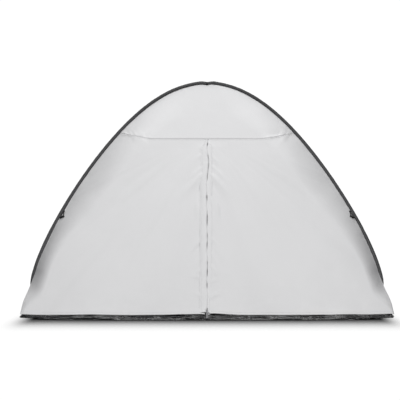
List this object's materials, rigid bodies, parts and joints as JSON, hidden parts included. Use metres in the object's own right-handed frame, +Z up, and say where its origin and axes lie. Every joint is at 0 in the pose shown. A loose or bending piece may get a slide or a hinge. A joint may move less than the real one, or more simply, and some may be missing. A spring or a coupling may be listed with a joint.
{
  "type": "pop-up tarp shelter",
  "caption": "Pop-up tarp shelter: silver cloth dome on spring-wire hoops with dark bindings, a closed centre-zipped front of triangular doors and a dark groundsheet.",
  "frame": {"origin": "middle of the footprint on the ground", "axes": "+X across the width, -Y out of the front, +Z up"},
  "size_m": [2.3214, 1.5947, 1.5775],
  "materials": {
    "silver_cloth": "satin",
    "binding": "matte",
    "groundsheet": "satin",
    "webbing": "matte",
    "seam_tape": "matte",
    "spring_steel": "satin",
    "ferrule_metal": "satin",
    "zip_tape": "matte",
    "zip_coil": "matte",
    "slider_metal": "satin",
    "pull_ribbon": "matte",
    "toggle_plastic": "matte"
  },
  "bodies": {
    "shell": {"front_hoop_wire": "spring_steel", "rear_hoop_wire": "spring_steel", "front_hoop_ferrule": "ferrule_metal", "rear_hoop_ferrule": "ferrule_metal", "front_arch_binding": "binding", "rear_arch_binding": "binding", "front_hem_sleeve": "groundsheet", "rear_hem_sleeve": "groundsheet", "apex_tie": "webbing", "front_roof_panel": "silver_cloth", "rear_roof_panel": "silver_cloth", "front_seam_tape": "seam_tape", "rear_seam_tape": "seam_tape", "front_gore_left": "silver_cloth", "front_gore_right": "silver_cloth", "rear_wall": "silver_cloth", "side_panel_left": "silver_cloth", "side_panel_right": "silver_cloth", "groundsheet": "groundsheet", "tieback_tab_left": "webbing", "tieback_tab_right": "webbing"},
    "door_left": {"door_panel_left": "silver_cloth", "storm_flap_left": "silver_cloth", "zip_tape_left": "zip_tape", "zip_coil_left": "zip_coil"},
    "door_right": {"door_panel_right": "silver_cloth", "storm_flap_right": "silver_cloth", "zip_tape_right": "zip_tape", "zip_coil_right": "zip_coil", "zip_top_stop": "ferrule_metal", "zip_bottom_stop": "ferrule_metal"},
    "slider": {"zip_slider": "slider_metal"},
    "pull": {"zip_pull": "slider_metal", "zip_pull_tag": "pull_ribbon"},
    "tieback_left": {"tieback_loop_left": "webbing", "tieback_toggle_left": "toggle_plastic"},
    "tieback_right": {"tieback_loop_right": "webbing", "tieback_toggle_right": "toggle_plastic"}
  },
  "joints": [
    {"name": "door_right_hinge", "type": "hinge", "parent": "shell", "child": "door_right", "pos_m": [0, -0.20948, 1.16473], "axis": [-0.6813, 0.3036, 0.666], "range_deg": [0, 110]},
    {"name": "door_left_hinge", "type": "hinge", "parent": "shell", "child": "door_left", "pos_m": [0, -0.20948, 1.16473], "axis": [-0.6813, -0.3036, -0.666], "range_deg": [0, 110]},
    {"name": "zip_slide", "type": "slide", "parent": "door_right", "child": "slider", "axis": [0, 0.4535, 0.8913], "range_m": [0, 1.1892]},
    {"name": "pull_tab_hinge", "type": "hinge", "parent": "slider", "child": "pull", "pos_m": [0, -0.77715, 0.05256], "axis": [-1, 0, 0], "range_deg": [0, 100]},
    {"name": "tieback_right_swing", "type": "hinge", "parent": "shell", "child": "tieback_right", "pos_m": [0.96381, -0.25443, 0.66808], "axis": [-0.7644, -0.5971, 0.2432], "range_deg": [0, 110]},
    {"name": "tieback_left_swing", "type": "hinge", "parent": "shell", "child": "tieback_left", "pos_m": [-0.96381, -0.25443, 0.66808], "axis": [-0.7644, 0.5971, -0.2432], "range_deg": [0, 110]}
  ]
}
